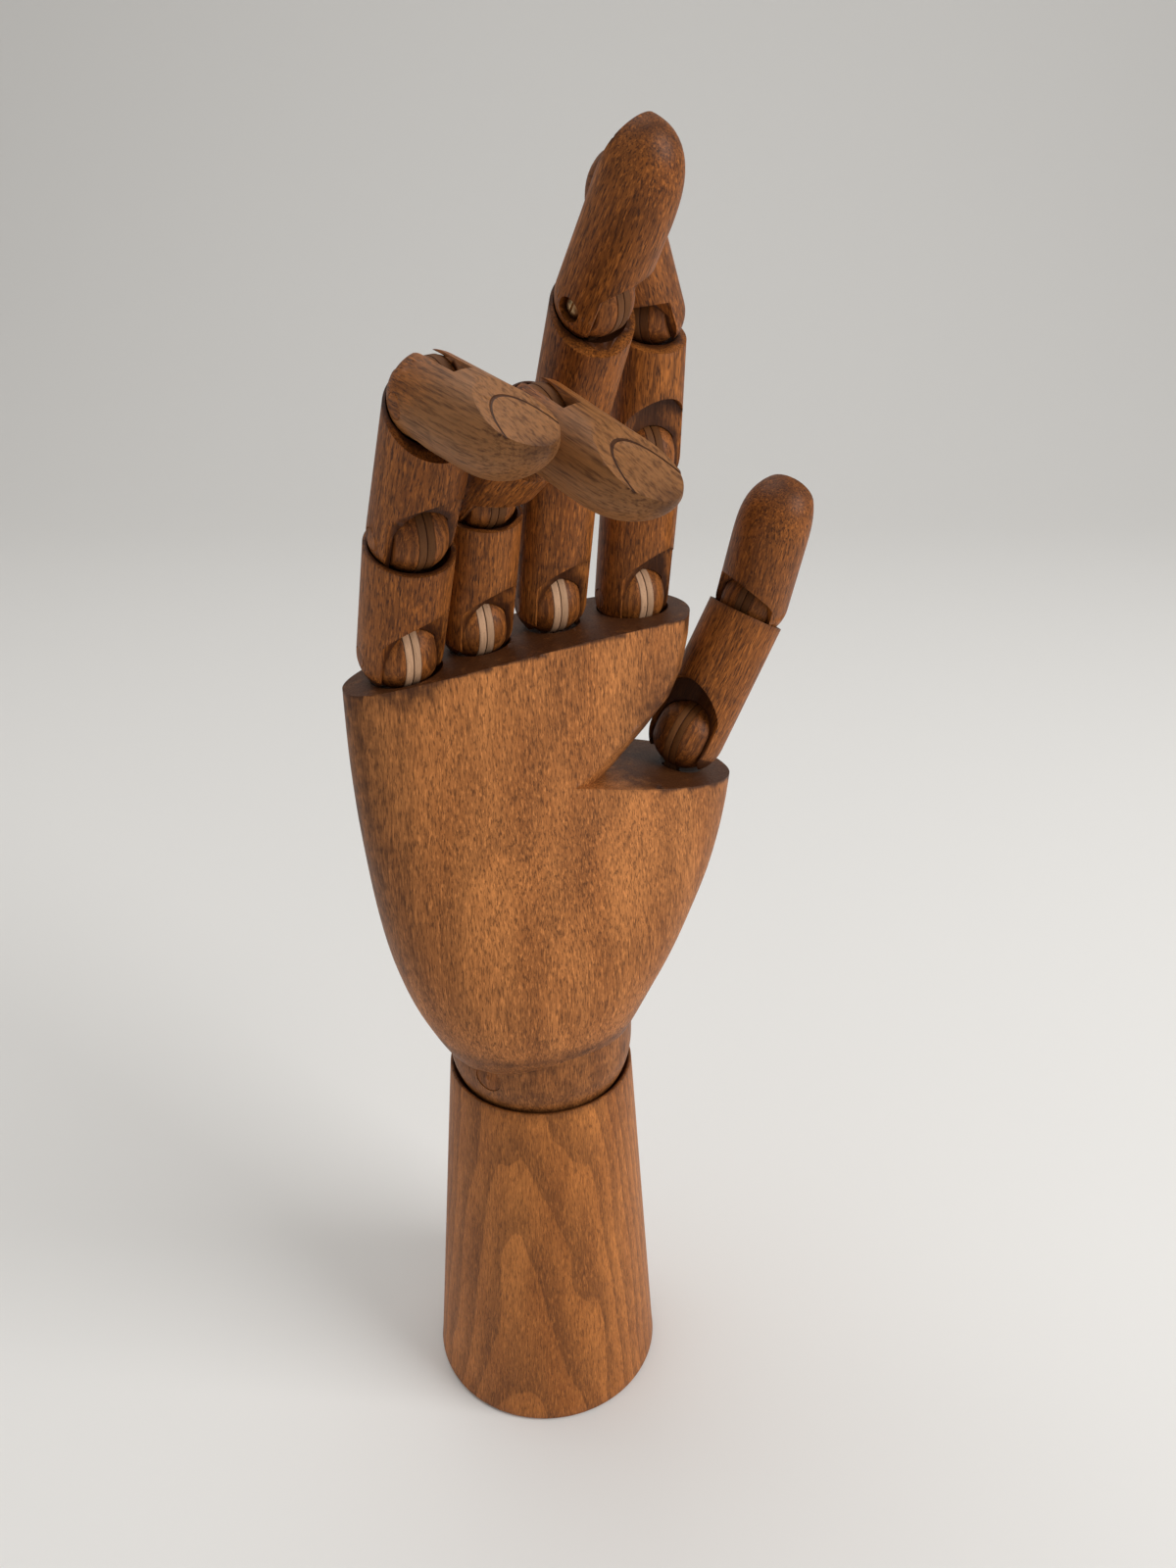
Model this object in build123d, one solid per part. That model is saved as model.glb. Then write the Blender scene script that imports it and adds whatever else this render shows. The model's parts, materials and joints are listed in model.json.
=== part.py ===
from build123d import *
import os
from math import asin, cos, degrees, pi, radians, sin, sqrt, tan

# A jointed wooden right hand on a tapered forearm. The palm faces -Y, the fingers point up +Z and the
# thumb is on the +X side. The origin is the middle of the forearm's flat underside. Millimetres.

os.makedirs("parts", exist_ok=True)

# Forearm base
base_radius = 30.0
base_top_radius = 22.7
base_height = 98.0
base_edge_round = 1.2

# Wrist: a domed stub under the palm sits in the cup of the base, held by an eyebolt and a cross dowel
wrist_rise = 8.0
stub_radius = 22.6
stub_height = 12.0
cup_gap = 0.3
dowel_radius = 3.4
dowel_turn = -54.5
dowel_gap = 0.1
eye_gap = 0.45
eye_wall = 1.8
eye_width = 3.4
eye_room = 1.2
bolt_radius = 2.0
bolt_gap = 0.2
bolt_swing = 24.0
bolt_head_radius = 7.0
bolt_head_height = 3.0
bolt_seat_gap = 0.1
foot_bore_radius = 9.0
foot_bore_depth = 40.0
foot_plug_height = 6.0
foot_plug_gap = 0.05

# Palm block
palm_height = 111.0
palm_left = 41.2
palm_right = 51.0
palm_depth = 26.0
palm_squareness = 2.3
palm_points = 24
palm_shares = [
    (0.000, 0.545, 0.410, 0.615, 0.615),
    (0.036, 0.607, 0.420, 0.790, 0.730),
    (0.081, 0.672, 0.455, 0.904, 0.846),
    (0.153, 0.760, 0.540, 0.980, 0.904),
    (0.225, 0.822, 0.640, 1.000, 0.904),
    (0.297, 0.868, 0.728, 0.980, 0.865),
    (0.396, 0.911, 0.838, 0.904, 0.790),
    (0.505, 0.944, 0.914, 0.810, 0.690),
    (0.622, 0.971, 0.960, 0.690, 0.596),
    (0.757, 0.986, 0.990, 0.585, 0.520),
    (1.000, 0.985, 1.000, 0.470, 0.470),
]

# Knuckle crown: the curved top face of the palm, an arc seen from the front
crown_radius = 357.0
crown_peak_x = 39.0
crown_peak_height = 105.9

# Finger block end above the thumb ledge, a half oval that leans out as it rises
block_end_low = 25.0
block_end_high = 36.0
block_low_height = 69.0
block_high_height = 109.0
block_oval_x = 26.0
block_oval_y = 18.5
ledge_height = 66.5
ledge_slope = 12.0

# Joint pieces shared by all fingers
joint_gap = 0.3
ball_gap = 0.35
cheek_gap = 0.25
ball_share = 0.85
cheek_share = 0.76
tongue_thickness = 3.2
kerf_gap = 0.25
hub_radius = 2.4
hub_gap = 0.05
stem_radius = 2.3
neck_share = 0.94
stem_length = 7.0
stem_gap = 0.1
stem_end_gap = 0.4
rim_wall = 0.25
rim_drop = 3.3
ear_reach = 2.8
kerf_rise_share = 1.45
pin_radius = 1.1
pin_gap = 0.1
pin_fit = 0.05
pin_head_radius = 2.2
pin_head_height = 1.4
pin_flush = 0.2
pin_end_wall = 1.2
screw_head_radius = 1.6
screw_head_height = 1.1
screw_pocket_radius = 2.2
screw_sink = 1.1
screw_slot_width = 0.5
screw_slot_depth = 0.5

# Fingertips: shares of the length and of the heel radius for each oval across the tip
tip_shares = [
    (0.30, 0.95, 0.95, 0.00),
    (0.58, 0.95, 0.96, -0.03),
    (0.76, 0.88, 0.87, -0.02),
    (0.89, 0.70, 0.66, 0.06),
    (0.965, 0.46, 0.40, 0.16),
    (1.00, 0.18, 0.15, 0.22),
]
nail_start_share = 0.50
nail_start_depth_share = 0.97
nail_end_depth_share = 0.42

# Fingers: root on the palm, heel radius at the root, top radius and length of each phalanx
ring_root_x = -11.5
finger_gap = 0.5
pinky_root_y = -1.1
pinky_lift = 4.9
pinky_heel = 8.8
pinky_proximal_top = 8.8
pinky_proximal_length = 29.0
pinky_middle_top = 8.3
pinky_middle_length = 29.9
pinky_distal_length = 32.6
pinky_pose = [(4.6, 22.6), (4.0, 7.2), (6.3, 70.2)]

ring_root_y = 1.3
ring_lift = 4.5
ring_heel = 7.7
ring_proximal_top = 7.9
ring_proximal_length = 29.7
ring_middle_top = 7.9
ring_middle_length = 29.5
ring_distal_length = 35.6
ring_pose = [(1.1, 16.0), (6.9, 38.7), (8.8, 51.1)]

middle_root_x = 5.4
middle_root_y = 1.8
middle_lift = 5.3
middle_heel = 7.7
middle_proximal_top = 7.8
middle_proximal_length = 33.8
middle_middle_top = 7.9
middle_middle_length = 34.7
middle_distal_length = 34.5
middle_pose = [(-1.3, 13.7), (-1.2, 18.8), (28.2, 8.3)]

index_root_x = 24.6
index_root_y = 1.9
index_lift = 2.8
index_heel = 8.1
index_proximal_top = 8.1
index_proximal_length = 31.1
index_middle_top = 7.3
index_middle_length = 27.4
index_distal_length = 36.0
index_pose = [(3.0, 7.8), (-4.8, -4.5), (-43.9, 42.8)]

# Thumb: it stands on the ledge and leans outwards
thumb_root_x = 37.4
thumb_root_y = -2.0
thumb_root_rise = 7.9
thumb_lean = 26.5
thumb_heel = 8.9
thumb_proximal_top = 8.8
thumb_proximal_length = 33.9
thumb_distal_length = 31.5
thumb_pose = [(-51.2, -1.4), (3.9, 40.8)]

# Arch over each ball: its radius as a share of the heel radius, and the tilt of each cup's rim
arch_shares = {"proximal": 1.15, "middle": 1.22, "distal": 1.28}
thumb_arch_share = 1.36
rim_tilts = {"proximal": 4.0, "middle": 22.0}
thumb_rim_tilt = 0.0

overrun = 2.0

wrist_height = base_height + wrist_rise
cup_radius = stub_radius + cup_gap
across = (0, 90, 0)
front_to_back = (90, 0, 0)


def turned(angle):
    """A turn about the local long axis."""
    return Location((0, 0, 0), (0, 0, angle))


def bent(angle):
    """A bend about the local cross pin, towards the palm when positive."""
    return Location((0, 0, 0), (angle, 0, 0))


def leaned(angle):
    """A lean towards +X."""
    return Location((0, 0, 0), (0, angle, 0))


def raised(height):
    return Location((0, 0, height), (0, 0, 0))


def rod(radius, length, turn=(0, 0, 0)):
    """A cylinder centred on the origin, along Z unless turned."""
    return Location((0, 0, 0), turn) * Cylinder(radius, length)


def column(radius, bottom, top):
    return raised((bottom + top) / 2) * Cylinder(radius, top - bottom)


def write(shape, name, place=None):
    shape = shape if place is None else place * shape
    solid = shape.solids()[0] if len(shape.solids()) == 1 else shape
    solid.label = name
    export_step(solid, "parts/" + name + ".step")


def crown_height(x):
    """Height of the palm's top face above the wrist centre at a place across the palm."""
    return crown_peak_height - crown_radius + sqrt(crown_radius**2 - (x - crown_peak_x) ** 2)


def oval(height, left, right, front, back):
    """One closed smooth section of the palm."""
    middle = (right - left) / 2
    half = (right + left) / 2
    points = []
    for step in range(palm_points):
        angle = 2 * pi * step / palm_points
        c = cos(angle)
        s = sin(angle)
        x = middle + half * (1 if c > 0 else -1) * abs(c) ** (2 / palm_squareness)
        reach = back if s > 0 else -front
        y = reach * abs(s) ** (2 / palm_squareness)
        points.append((x, y, height))
    return make_face(Spline(*points, periodic=True))


def ring_about_x(points, arcs):
    """Turns a closed outline about the cross pin's axis; some of its sides are arcs round the centre."""
    sides = []
    for number, (start, end) in enumerate(zip(points, points[1:] + points[:1])):
        if number in arcs:
            sides.append(arc_over(start, end))
        else:
            sides.append(Line(start, end))
    return revolve(make_face(Curve() + sides), Axis.X)


def arc_over(start, end):
    """The arc about the origin between two points at the same distance from it."""
    radius = sqrt(start[0] ** 2 + start[1] ** 2)
    middle = (start[0] + end[0], start[1] + end[1])
    scale = radius / sqrt(middle[0] ** 2 + middle[1] ** 2)
    return ThreePointArc(start, (middle[0] * scale, middle[1] * scale), end)


def on_ball(ball, x):
    return (x, sqrt(ball**2 - x**2))


def ball_core(ball):
    """Two cheeks on a hub, with the slot that the tongue fills and the hole for the pin."""
    cheek = cheek_share * ball
    half = tongue_thickness / 2
    hole = pin_radius + pin_gap
    points = [
        (-cheek, hole),
        on_ball(ball, -cheek),
        on_ball(ball, -half),
        (-half, hub_radius),
        (half, hub_radius),
        on_ball(ball, half),
        on_ball(ball, cheek),
        (cheek, hole),
    ]
    return ring_about_x(points, [1, 5])


def tongue(ball, heel):
    """A disc in the ball's slot with a flat neck and a round stem below it."""
    half = tongue_thickness / 2
    inner = hub_radius + hub_gap
    disc = ring_about_x([(-half, inner), on_ball(ball, -half), on_ball(ball, half), (half, inner)], [1])
    neck_top = -(inner + ball) / 2
    neck_end = -heel - joint_gap - stem_radius / 2
    neck_height = neck_top - neck_end
    neck_width = 2 * sqrt((neck_share * stem_radius) ** 2 - half**2)
    neck = raised(neck_end + neck_height / 2) * Box(tongue_thickness, neck_width, neck_height)
    stem_top = -heel - joint_gap
    return disc + neck + column(stem_radius, stem_top - stem_length, stem_top)


def cross_pin(heel):
    """A wooden pin: a wide flush head in one ear and a shank into the other."""
    outer = heel - pin_flush
    head = Location((-outer + pin_head_height / 2, 0, 0), across) * Cylinder(pin_head_radius, pin_head_height)
    return head + shank(outer - pin_head_height / 2, heel)


def shank(start, heel):
    end = heel - pin_end_wall
    length = start + end
    return Location(((end - start) / 2, 0, 0), across) * Cylinder(pin_radius, length)


def cross_screw(heel):
    """A metal screw whose slotted round head lies in an open pocket."""
    outer = heel - screw_sink
    head = Location((-outer + screw_head_height / 2, 0, 0), across) * Cylinder(screw_head_radius, screw_head_height)
    head = fillet(head.edges().group_by(Axis.X)[0], screw_slot_depth)
    slot_room = 2 * screw_head_radius + overrun
    slot = Location((-outer, 0, 0)) * Box(2 * screw_slot_depth, screw_slot_width, slot_room)
    return head + shank(outer - screw_head_height / 2, heel) - slot


def pin_room(heel, head_radius, head_bottom):
    """The hole for the pin with the pocket for its head, open to the outside of the ear."""
    end = heel - pin_end_wall + pin_fit
    hole = Location(((end - heel) / 2, 0, 0), across) * Cylinder(pin_radius + pin_fit, heel + end)
    pocket_length = heel + overrun - head_bottom
    middle = -(heel + overrun + head_bottom) / 2
    return hole + Location((middle, 0, 0), across) * Cylinder(head_radius + pin_fit, pocket_length)


def fork(body, heel, ball, arch, screwed):
    """Opens the lower end of a phalanx: arch in front, room for the ball, kerf behind and the pin's hole."""
    room = 2 * (heel + overrun)
    front = heel + overrun
    arch_length = front - ear_reach
    body -= Location((0, -(front + ear_reach) / 2, 0), front_to_back) * Cylinder(arch, arch_length)
    hollow = ball + ball_gap
    slab = Box(2 * (cheek_share * ball + cheek_gap), room, 2 * room)
    body -= domed(hollow, -front) & slab
    kerf = tongue_thickness + 2 * kerf_gap
    outline = Polyline(
        (0, -front),
        (front, -front),
        (front, kerf_rise_share * heel),
        (hollow / 2, hollow),
        (0, hollow),
        close=True,
    )
    body -= extrude(Plane.YZ * make_face(outline), amount=kerf / 2, both=True)
    if screwed:
        return body - pin_room(heel, screw_pocket_radius, heel - screw_sink - screw_head_height)
    return body - pin_room(heel, pin_head_radius, heel - pin_flush - pin_head_height)


def domed(radius, end):
    """A round bar with a half-ball end at the origin; it runs down or up to the given height."""
    tip = (0, radius if end < 0 else -radius)
    sides = Polyline((radius, 0), (radius, end), (0, end), tip)
    return revolve(Plane.XZ * make_face(Curve() + [arc_over(tip, (radius, 0)), sides]), Axis.Z)


def dish(heel):
    """Room for a heel from below, open upwards, with the bore for the stem under it."""
    return domed(heel + joint_gap, 2 * heel) + stem_bore(heel)


def cup(heel, tilt):
    """What is taken off the top of a piece for the joint above it, about that joint's centre."""
    side = 4 * heel
    above = bent(tilt) * Location((0, 0, side / 2 - rim_drop)) * Box(side, side, side)
    return above + dish(heel)


def stem_bore(heel):
    bottom = -heel - joint_gap - stem_length - stem_end_gap
    return column(stem_radius + stem_gap, bottom, -heel)


def phalanx(heel, top, length, next_heel, tilt, arch, ball, screwed=False):
    """A round phalanx with a spherical heel, and the cup for the next joint in its top."""
    tip = (0, -heel)
    sides = Polyline((heel, 0), (top, length), (0, length), tip)
    body = revolve(Plane.XZ * make_face(Curve() + [arc_over(tip, (heel, 0)), sides]), Axis.Z)
    body -= raised(length) * cup(next_heel, tilt)
    return fork(body, heel, ball, arch, screwed)


def fingertip(heel, length, arch, ball, screwed=False):
    """The last phalanx: it narrows to a rounded tip with a flat nail behind."""
    sections = [Circle(heel)]
    for height_share, width_share, depth_share, back_share in tip_shares:
        place = Location((0, back_share * heel, height_share * length))
        sections.append(place * Ellipse(width_share * heel, depth_share * heel))
    tip = (0, -heel)
    outline = Curve() + [arc_over(tip, (heel, 0)), Polyline((heel, 0), (0, 0), tip)]
    body = revolve(Plane.XZ * make_face(outline), Axis.Z) + loft(sections)
    start = nail_start_share * length
    run = length - start
    fall = (nail_start_depth_share - nail_end_depth_share) * heel
    slope = degrees(asin(fall / sqrt(fall**2 + run**2)))
    side = 2 * length
    block = Location((0, side / 2, 0)) * Box(side, side, side)
    body -= Location((0, nail_start_depth_share * heel, start), (slope, 0, 0)) * block
    return fork(body, heel, ball, arch, screwed)


def joint_set(name, segment, place, pose, heel, member, screwed=False):
    """Places one joint: its ball, tongue, pin and the phalanx above, and gives the phalanx's frame."""
    turn, bend = pose
    ball_frame = place * turned(turn)
    frame = ball_frame * bent(bend)
    ball = ball_share * heel
    tag = name + "_" + segment
    write(ball_core(ball), tag + "_ball", ball_frame)
    write(tongue(ball, heel), tag + "_tongue", ball_frame)
    write(member, tag + "_phalanx", frame)
    if screwed:
        write(cross_screw(heel), tag + "_screw", frame)
    else:
        write(cross_pin(heel), tag + "_pin", frame)
    return frame


def heel_for(top):
    """The next heel turns inside the rim of the piece below it."""
    return top - rim_wall - joint_gap


def finger(name, root, heel, tops, lengths, poses, screwed_segment=None):
    frame = root
    segments = ["proximal", "middle", "distal"]
    for number, segment in enumerate(segments):
        arch = arch_shares[segment] * heel
        ball = ball_share * heel
        screwed = segment == screwed_segment
        if segment == "distal":
            member = fingertip(heel, lengths[number], arch, ball, screwed)
        else:
            following = heel_for(tops[number])
            tilt = rim_tilts[segment]
            member = phalanx(heel, tops[number], lengths[number], following, tilt, arch, ball, screwed)
        frame = joint_set(name, segment, frame, poses[number], heel, member, screwed)
        if segment != "distal":
            frame = frame * raised(lengths[number])
            heel = following


# Forearm base
profile = Polyline((0, 0), (base_radius, 0), (base_top_radius, base_height), (0, base_height), close=True)
base = revolve(Plane.XZ * make_face(profile), Axis.Z)
base = fillet(base.edges().group_by(Axis.Z)[0], base_edge_round)
base -= raised(wrist_height) * Sphere(cup_radius)
base -= column(bolt_radius + bolt_gap, 0, base_height)
base -= column(foot_bore_radius, -overrun, foot_bore_depth)
write(base, "forearm_base")
write(column(foot_bore_radius - foot_plug_gap, 0, foot_plug_height), "foot_plug")

# Eyebolt: an eye round the dowel, a rod down the base and a head under the shoulder of the foot bore
wrist = raised(wrist_height)
dowel_way = wrist * turned(dowel_turn - 90)
eye_inner = dowel_radius + eye_gap
eye_outer = eye_inner + eye_wall
bolt_top = wrist_height - (eye_inner + eye_outer) / 2
head_top = foot_bore_depth - bolt_seat_gap
bolt = column(bolt_radius, head_top - bolt_head_height / 2, bolt_top)
bolt += column(bolt_head_radius, head_top - bolt_head_height, head_top)
eye = rod(eye_outer, eye_width, across) - rod(eye_inner, eye_width + overrun, across)
bolt += dowel_way * eye
bolt -= dowel_way * rod(eye_inner, eye_width + overrun, across)
write(bolt, "wrist_eyebolt")

# Dowel
dowel_reach = sqrt(stub_radius**2 - dowel_radius**2) - dowel_gap
write(dowel_way * rod(dowel_radius, 2 * dowel_reach, across), "wrist_dowel")

# Palm
sections = []
for height, left, right, front, back in palm_shares:
    z = wrist_height + height * palm_height
    sections.append(oval(z, left * palm_left, right * palm_right, front * palm_depth, back * palm_depth))
palm = loft(sections)
palm += column(stub_radius, wrist_height, wrist_height + stub_height)
dome = wrist * Sphere(stub_radius)
palm += dome - column(2 * stub_radius, wrist_height, wrist_height + 2 * stub_radius)

crown_center = wrist_height + crown_peak_height - crown_radius
crown = Location((crown_peak_x, 0, crown_center), front_to_back) * Cylinder(crown_radius, 4 * palm_depth)
palm &= crown

# The block for the four fingers ends in a half oval, and the thumb ledge lies below and beside it
def block_section(height, end):
    center = end - block_oval_x
    z = wrist_height + height
    arc = EllipticalCenterArc((center, 0), block_oval_x, block_oval_y, start_angle=-90, arc_size=180)
    far = -2 * palm_left
    sides = Polyline((center, block_oval_y), (far, block_oval_y), (far, -block_oval_y), (center, -block_oval_y))
    return raised(z) * make_face(arc + sides)


block_slope = (block_end_high - block_end_low) / (block_high_height - block_low_height)
keep_low = block_low_height / 2
keep_high = palm_height + overrun
keep = loft([
    block_section(keep_low, block_end_low + block_slope * (keep_low - block_low_height)),
    block_section(keep_high, block_end_high + block_slope * (keep_high - block_high_height)),
])
ledge_room = 4 * palm_right
ledge = Location((thumb_root_x, 0, wrist_height + ledge_height), (0, ledge_slope, 0))
above_ledge = ledge * Location((0, 0, ledge_room / 2)) * Box(ledge_room, ledge_room, ledge_room)
palm -= above_ledge - keep

# Wrist hollow: room for the eye about the dowel, and a bell mouth for the rod as the palm tilts
eye_space = eye_outer + eye_room
mouth_radius = stub_radius * tan(radians(bolt_swing)) + bolt_radius
palm -= wrist * Sphere(eye_space)
mouth_depth = stub_radius + overrun
bell = Location((0, 0, wrist_height - mouth_depth / 2)) * Cone(mouth_radius, bolt_radius + eye_room, mouth_depth)
palm -= bell
palm -= dowel_way * rod(dowel_radius + dowel_gap, 4 * stub_radius, across)

# Roots of the fingers, each at its lift above the crown
pinky_root_x = ring_root_x - ring_heel - pinky_heel - finger_gap
roots = {
    "pinky": (pinky_root_x, pinky_root_y, pinky_lift, pinky_heel),
    "ring": (ring_root_x, ring_root_y, ring_lift, ring_heel),
    "middle": (middle_root_x, middle_root_y, middle_lift, middle_heel),
    "index": (index_root_x, index_root_y, index_lift, index_heel),
}
frames = {}
for name, (x, y, lift, heel) in roots.items():
    frames[name] = Location((x, y, wrist_height + crown_height(x) + lift))
    palm -= frames[name] * dish(heel)
thumb_height = wrist_height + ledge_height + thumb_root_rise
frames["thumb"] = Location((thumb_root_x, thumb_root_y, thumb_height)) * leaned(thumb_lean)
palm -= frames["thumb"] * dish(thumb_heel)
write(palm, "palm")

# Fingers
finger(
    "pinky", frames["pinky"], pinky_heel,
    [pinky_proximal_top, pinky_middle_top],
    [pinky_proximal_length, pinky_middle_length, pinky_distal_length],
    pinky_pose,
)
finger(
    "ring", frames["ring"], ring_heel,
    [ring_proximal_top, ring_middle_top],
    [ring_proximal_length, ring_middle_length, ring_distal_length],
    ring_pose,
)
finger(
    "middle", frames["middle"], middle_heel,
    [middle_proximal_top, middle_middle_top],
    [middle_proximal_length, middle_middle_length, middle_distal_length],
    middle_pose, "distal",
)
finger(
    "index", frames["index"], index_heel,
    [index_proximal_top, index_middle_top],
    [index_proximal_length, index_middle_length, index_distal_length],
    index_pose,
)

# Thumb: two phalanges
thumb_ball = ball_share * thumb_heel
thumb_next = heel_for(thumb_proximal_top)
thumb_arch = thumb_arch_share * thumb_heel
thumb_member = phalanx(
    thumb_heel, thumb_proximal_top, thumb_proximal_length,
    thumb_next, thumb_rim_tilt, thumb_arch, thumb_ball,
)
thumb_frame = joint_set("thumb", "proximal", frames["thumb"], thumb_pose[0], thumb_heel, thumb_member)
thumb_top = thumb_frame * raised(thumb_proximal_length)
thumb_end = fingertip(thumb_next, thumb_distal_length, arch_shares["distal"] * thumb_next, ball_share * thumb_next)
joint_set("thumb", "distal", thumb_top, thumb_pose[1], thumb_next, thumb_end)
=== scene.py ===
"""A jointed wooden hand on a tapered forearm: turned and carved pieces, stained wood and a plain studio."""

import json
from contextlib import contextmanager
from math import atan2, cos, pi, radians, sin, sqrt

import bpy
from bpy.props import FloatProperty, FloatVectorProperty, PointerProperty
from mathutils import Matrix, Vector


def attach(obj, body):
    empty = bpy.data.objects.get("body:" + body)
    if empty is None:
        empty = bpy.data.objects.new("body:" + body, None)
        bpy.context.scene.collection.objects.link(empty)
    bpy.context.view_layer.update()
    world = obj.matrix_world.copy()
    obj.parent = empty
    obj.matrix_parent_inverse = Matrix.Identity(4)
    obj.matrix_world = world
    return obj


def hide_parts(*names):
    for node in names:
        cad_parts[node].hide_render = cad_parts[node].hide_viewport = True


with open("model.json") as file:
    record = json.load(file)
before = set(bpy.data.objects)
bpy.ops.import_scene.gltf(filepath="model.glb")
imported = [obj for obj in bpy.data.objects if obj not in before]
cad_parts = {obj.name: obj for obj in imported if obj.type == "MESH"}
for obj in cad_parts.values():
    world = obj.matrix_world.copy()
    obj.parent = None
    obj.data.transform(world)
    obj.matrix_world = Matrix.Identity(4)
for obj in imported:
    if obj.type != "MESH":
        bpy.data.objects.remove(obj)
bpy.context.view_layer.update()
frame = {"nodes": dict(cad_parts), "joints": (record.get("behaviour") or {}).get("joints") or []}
joints = {joint["name"]: joint for joint in frame["joints"]}

bl_info = {
    "name": "Jointed Wooden Hand",
    "version": (1, 0, 0),
    "blender": (4, 5, 0),
    "location": "View3D > Sidebar > Wooden Hand",
    "description": "Models a jointed wooden hand, its stained wood and its studio round a packed frame",
    "category": "Add Mesh",
}

MM = 0.001
FULL_TURN = 2 * pi
DIGITS = ("pinky", "ring", "middle", "index", "thumb")

# How much narrower a heel is than the top of the phalanx below it.
STEP_IN = 0.55 * MM
# The thumb's balls are this much wider, as a share of their radius.
THUMB_CHEEK = 0.06
# Points nearer than this are merged after a spin.
SEAM = 0.002 * MM
# A cut that fails is tried again with the tool moved by this much.
NUDGE = Matrix.Rotation(radians(0.2), 4, "Z") @ Matrix.Translation((0.002 * MM, 0.003 * MM, 0.001 * MM))
SOLVERS = ({}, {"use_self": True}, {"use_hole_tolerant": True}, {"solver": "FAST"})
# A piece with no more points than this after a cut has been lost.
LOST = 8

# Palm sections: height, reach to the left and right, and depth in front and behind, as shares of its sizes.
PALM_SHARES = (
    (0.000, 0.545, 0.410, 0.615, 0.615),
    (0.036, 0.607, 0.420, 0.790, 0.730),
    (0.081, 0.672, 0.455, 0.904, 0.846),
    (0.153, 0.760, 0.540, 0.980, 0.904),
    (0.225, 0.822, 0.640, 1.000, 0.904),
    (0.297, 0.868, 0.728, 0.980, 0.865),
    (0.396, 0.911, 0.838, 0.904, 0.790),
    (0.505, 0.944, 0.914, 0.810, 0.690),
    (0.622, 0.971, 0.960, 0.690, 0.596),
    (0.757, 0.986, 0.990, 0.585, 0.520),
    (1.000, 0.985, 1.000, 0.470, 0.470),
)
PALM_RINGS = 74
# Side of the finger block by the thumb: height and reach in millimetres.
BLOCK_ENDS = (
    (34.5, 12.0), (64.0, 12.0), (70.0, 14.6), (76.0, 20.8), (82.0, 26.8), (88.0, 32.2), (94.0, 34.8),
    (101.0, 36.0), (116.0, 36.8),
)

# Arch over each ball: its height as a share of the heel, its turn and the tilt of the piece's upper rim in degrees.
FINGER_ARCHES = {"proximal": (1.58, 25.0, 4.0), "middle": (1.64, 10.0, 22.0), "distal": (1.35, 16.0, 0.0)}
THUMB_ARCHES = {"proximal": (1.42, -16.0, 0.0), "distal": (1.2, -16.0, 0.0)}

# Heights at which a fingertip is divided, as shares of its length: closer towards its end.
TIP_CUTS = [k / 24 for k in range(1, 18)] + [
    0.74, 0.78, 0.82, 0.855, 0.885, 0.91, 0.93, 0.95, 0.965, 0.978, 0.988, 0.995
]

# Each wood's colour against the stain, pith (place in mm and its lean), ring spacing in mm and strengths.
WOODS = {
    "base": {"shade": (1.16, 1.12, 0.98), "pith": (30.0, 46.0, 0.0), "ring_space": 2.6, "rings": 0.40, "streak": 0.55},
    "palm": {"shade": (1.28, 1.32, 1.42), "pith": (-8.0, 120.0, 0.05), "ring_space": 5.0, "rings": 0.2, "streak": 0.75},
    "finger": {"shade": (0.80, 0.71, 0.50), "pith": (16.0, 28.0, 0.02), "ring_space": 3.4, "rings": 0.2, "streak": 1.0},
    "ball": {"shade": (0.80, 0.72, 0.56), "pith": (14.0, 9.0, 0.0), "ring_space": 1.7, "rings": 0.6, "streak": 0.7},
}


def length(name, description, default_mm):
    """A length setting, given in millimetres and kept in metres."""
    default = default_mm * MM
    return FloatProperty(name=name, description=description, default=default, min=0.0, unit="LENGTH", precision=5)


def share(name, description, default):
    """A size given as a share of another."""
    return FloatProperty(name=name, description=description, default=default, subtype="FACTOR")


def angle(name, description, default_degrees):
    """An angle setting, given in degrees and kept in radians."""
    default = radians(default_degrees)
    return FloatProperty(name=name, description=description, default=default, subtype="ANGLE", unit="ROTATION")


def colour(name, description, default):
    """A linear colour setting."""
    return FloatVectorProperty(
        name=name, description=description, default=default, size=3, min=0.0, max=1.0, subtype="COLOR"
    )


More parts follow.
